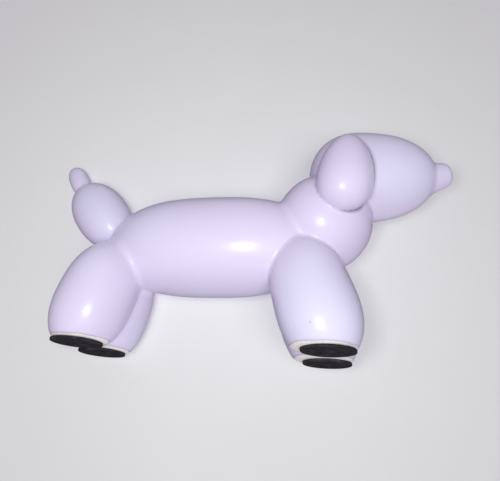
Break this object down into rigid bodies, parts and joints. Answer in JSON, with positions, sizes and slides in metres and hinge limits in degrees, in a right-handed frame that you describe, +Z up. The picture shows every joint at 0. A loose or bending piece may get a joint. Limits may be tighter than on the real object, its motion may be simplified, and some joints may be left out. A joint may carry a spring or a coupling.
{
  "type": "balloon-style dog figurine",
  "caption": "Glazed ceramic dog figurine in the manner of a twisted-balloon toy, with plump segments for head, ears, body, legs and tail, standing on round foam pads.",
  "frame": {"origin": "on the ground, under the middle of the figurine's length and width", "axes": "+Z up, +X from tail to nose, +Y to the dog's left, mirror plane at Y = 0"},
  "size_m": [0.2304, 0.0786, 0.1264],
  "materials": {
    "glaze": "pale lavender satin glaze on white earthenware, bare clay round the soles",
    "foam": "matt black closed-cell foam"
  },
  "bodies": {
    "root": {"dog": "glaze", "front_right_pad": "foam", "front_left_pad": "foam", "hind_right_pad": "foam", "hind_left_pad": "foam"}
  },
  "joints": []
}
